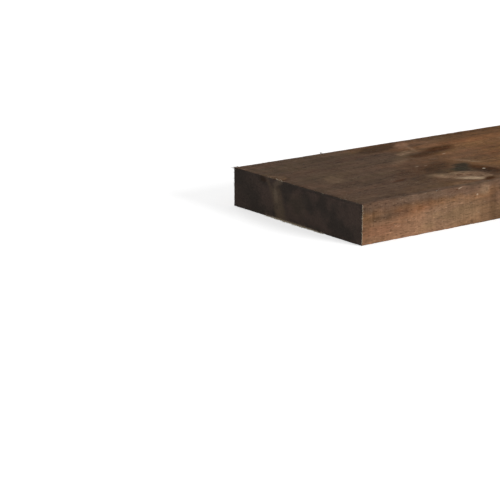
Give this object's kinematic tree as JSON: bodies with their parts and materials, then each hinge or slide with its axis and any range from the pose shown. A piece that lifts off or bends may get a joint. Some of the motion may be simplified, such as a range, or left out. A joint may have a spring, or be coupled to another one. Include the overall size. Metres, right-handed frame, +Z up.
{
  "type": "pine board",
  "caption": "Rough-sawn pine board, pressure-treated dark brown, rectangular section, square-cut ends; raw stock for fences, raised beds and decking.",
  "frame": {"origin": "centre of the bottom face, on the surface the board lies on", "axes": "+X along the board's length and grain, away from the end that the picture shows; +Y across the width, towards the back edge; +Z up through the thickness"},
  "size_m": [1.8, 0.2, 0.04],
  "materials": {
    "treated_pine": "rough-sawn, brown-impregnated, matt"
  },
  "bodies": {
    "root": {"board": "treated_pine"}
  },
  "joints": []
}
